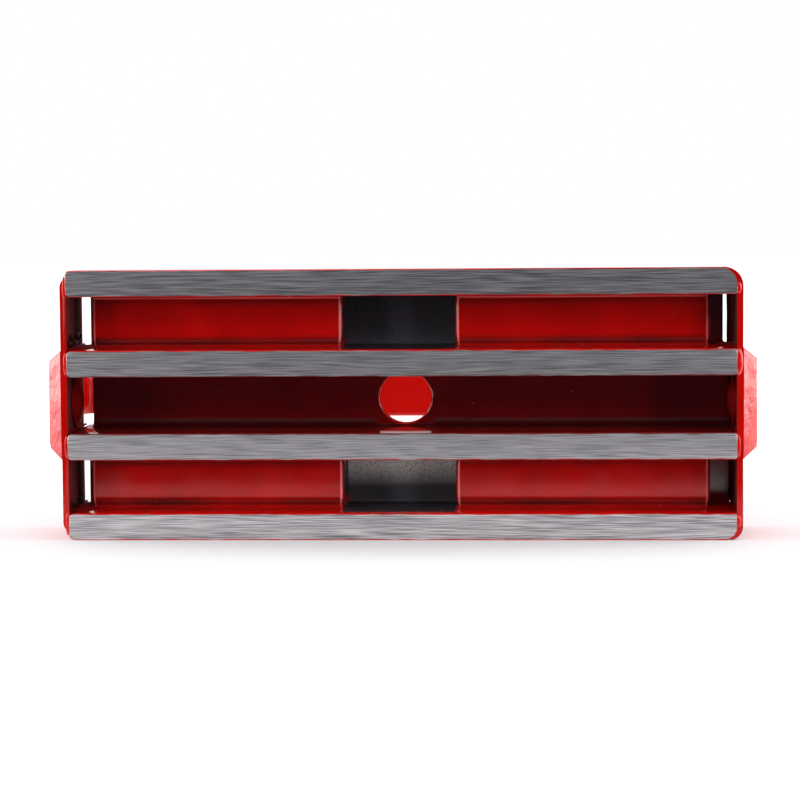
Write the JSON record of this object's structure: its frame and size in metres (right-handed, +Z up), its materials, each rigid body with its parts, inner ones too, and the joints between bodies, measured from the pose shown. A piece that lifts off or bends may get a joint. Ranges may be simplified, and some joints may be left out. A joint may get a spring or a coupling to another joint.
{
  "type": "welding magnet holder",
  "caption": "Flat oblong holding magnet with ground steel pole faces in an enamelled frame, a bored middle web and a swinging strap handle behind.",
  "frame": {"origin": "centre of the underside of the bottom pole plate, on which the holder stands on edge", "axes": "+X along the pole plates, +Y from the pole face towards the handle, +Z up through the stack of plates"},
  "size_m": [0.1628, 0.0547, 0.0607],
  "materials": {
    "enamel": "gloss",
    "bare_steel": "satin",
    "ferrite": "matte",
    "fibre": "matte",
    "grip_vinyl": "satin"
  },
  "bodies": {
    "block": {"pole_plate_bottom": "enamel", "pole_plate_lower_mid": "enamel", "pole_plate_upper_mid": "enamel", "pole_plate_top": "enamel", "magnet_lower_left": "ferrite", "magnet_lower_right": "ferrite", "magnet_upper_left": "ferrite", "magnet_upper_right": "ferrite", "back_strip_lower": "bare_steel", "back_strip_upper": "bare_steel", "web_plate": "enamel", "end_plate_left": "enamel", "end_plate_right": "enamel", "pivot_rivet_left": "bare_steel", "pivot_rivet_right": "bare_steel", "backing_washer_left": "bare_steel", "backing_washer_right": "bare_steel", "friction_washer_left": "fibre", "friction_washer_right": "fibre"},
    "handle": {"handle_hub_left": "enamel", "handle_hub_right": "enamel", "handle_strap": "enamel", "handle_grip": "grip_vinyl"}
  },
  "joints": [
    {"name": "handle_swing", "type": "hinge", "parent": "block", "child": "handle", "pos_m": [0, 0, 0.03035], "axis": [1, 0, 0], "range_deg": [-90, 90]}
  ]
}
